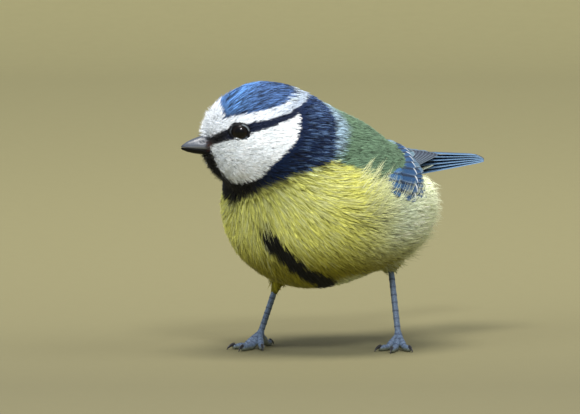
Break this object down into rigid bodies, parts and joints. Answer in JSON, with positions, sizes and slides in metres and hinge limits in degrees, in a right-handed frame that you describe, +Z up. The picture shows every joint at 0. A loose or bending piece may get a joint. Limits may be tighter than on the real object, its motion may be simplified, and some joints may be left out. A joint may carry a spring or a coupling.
{
  "type": "blue tit",
  "caption": "Small perching bird standing with its head turned to the side, as a still life-size model.",
  "frame": {"origin": "on the floor, under the middle of the bird's bounding box", "axes": "+Z up, -Y the way the body faces, +X to the bird's left; the head is turned to the bird's right"},
  "size_m": [0.0476, 0.107, 0.0683],
  "materials": {
    "white_feathers": "soft white face feathers with a blue crown and a dark eye stripe",
    "navy_feathers": "dark blue and black collar feathers",
    "yellow_feathers": "soft yellow breast and belly feathers, green on the back",
    "blue_feathers": "blue flight and tail feathers with pale edges",
    "eye": "wet black eye",
    "bill": "satin dark grey horn with paler edges",
    "leg_scales": "blue-grey scaly skin with dark claws"
  },
  "bodies": {
    "root": {"head": "white_feathers", "neck": "navy_feathers", "torso": "yellow_feathers", "thigh_left": "yellow_feathers", "thigh_right": "yellow_feathers", "wing_left": "blue_feathers", "wing_right": "blue_feathers", "tail": "blue_feathers", "eye_left": "eye", "eye_right": "eye", "bill_upper": "bill", "bill_lower": "bill", "tarsus_left": "leg_scales", "tarsus_right": "leg_scales", "foot_left": "leg_scales", "foot_right": "leg_scales"}
  },
  "joints": []
}
